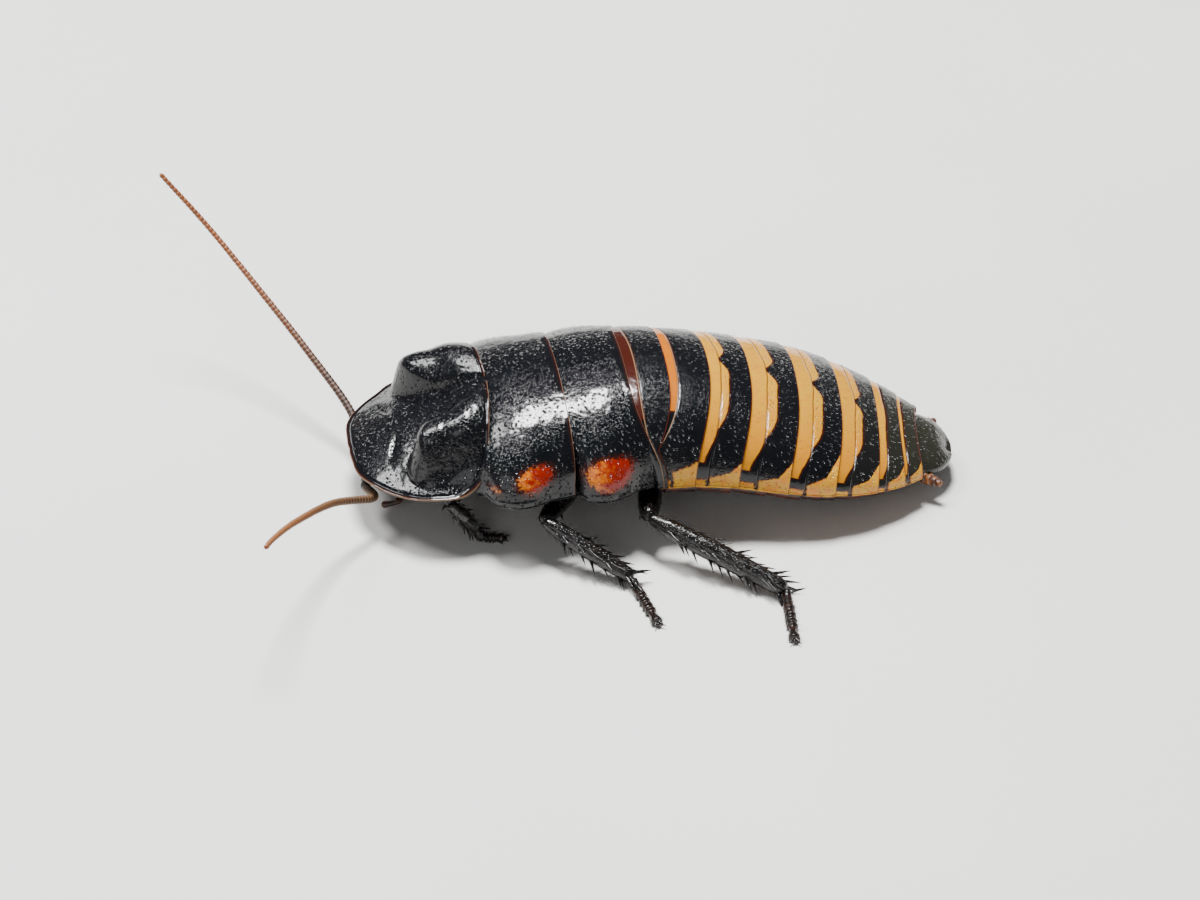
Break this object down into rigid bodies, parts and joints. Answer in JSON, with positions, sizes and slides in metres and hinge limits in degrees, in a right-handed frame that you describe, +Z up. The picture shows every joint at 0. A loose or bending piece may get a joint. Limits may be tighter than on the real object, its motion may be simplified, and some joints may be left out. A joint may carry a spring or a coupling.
{
  "type": "madagascar hissing cockroach",
  "caption": "Life-size still model of an adult male Madagascar hissing cockroach standing, with horned pronotum, banded abdomen, spiny legs and ringed antennae.",
  "frame": {"origin": "on the floor under the middle of the animal's whole box, feelers and feet included", "axes": "-X towards the head, +X towards the tail, -Y towards the animal's left side, +Z up; the thorax lies along X"},
  "size_m": [0.083, 0.0622, 0.0232],
  "materials": {
    "black_cuticle": "glossy blue-black shell with dense fine pits",
    "banded_cuticle": "glossy shell, ochre bands and side patches on black",
    "belly_cuticle": "satin red-brown shell",
    "head_cuticle": "glossy dark brown shell",
    "palp": "satin amber brown",
    "eye": "glossy, finely faceted, near black",
    "antenna": "satin orange-brown rings",
    "cercus": "satin brown rings",
    "leg_cuticle": "glossy black, with spines and short bristles"
  },
  "bodies": {
    "root": {"antenna_left": "antenna", "antenna_right": "antenna", "cercus_left": "cercus", "cercus_right": "cercus", "coxa_front_left": "leg_cuticle", "coxa_front_right": "leg_cuticle", "coxa_hind_left": "leg_cuticle", "coxa_hind_right": "leg_cuticle", "coxa_middle_left": "leg_cuticle", "coxa_middle_right": "leg_cuticle", "eye_left": "eye", "eye_right": "eye", "femur_front_left": "leg_cuticle", "femur_front_right": "leg_cuticle", "femur_hind_left": "leg_cuticle", "femur_hind_right": "leg_cuticle", "femur_middle_left": "leg_cuticle", "femur_middle_right": "leg_cuticle", "head": "head_cuticle", "labium": "head_cuticle", "labrum": "head_cuticle", "mandible_left": "head_cuticle", "mandible_right": "head_cuticle", "mesonotum": "black_cuticle", "mesosternum": "belly_cuticle", "metanotum": "black_cuticle", "metasternum": "belly_cuticle", "palp_left": "palp", "palp_right": "palp", "pronotum": "black_cuticle", "prosternum": "belly_cuticle", "sternite_1": "belly_cuticle", "sternite_2": "belly_cuticle", "sternite_3": "belly_cuticle", "sternite_4": "belly_cuticle", "sternite_5": "belly_cuticle", "sternite_6": "belly_cuticle", "sternite_7": "belly_cuticle", "subgenital_plate": "belly_cuticle", "supra_anal_plate": "black_cuticle", "tarsus_front_left": "leg_cuticle", "tarsus_front_right": "leg_cuticle", "tarsus_hind_left": "leg_cuticle", "tarsus_hind_right": "leg_cuticle", "tarsus_middle_left": "leg_cuticle", "tarsus_middle_right": "leg_cuticle", "tergite_1": "black_cuticle", "tergite_2": "banded_cuticle", "tergite_3": "banded_cuticle", "tergite_4": "banded_cuticle", "tergite_5": "banded_cuticle", "tergite_6": "banded_cuticle", "tergite_7": "banded_cuticle", "tergite_8": "banded_cuticle", "tibia_front_left": "leg_cuticle", "tibia_front_right": "leg_cuticle", "tibia_hind_left": "leg_cuticle", "tibia_hind_right": "leg_cuticle", "tibia_middle_left": "leg_cuticle", "tibia_middle_right": "leg_cuticle"}
  },
  "joints": []
}
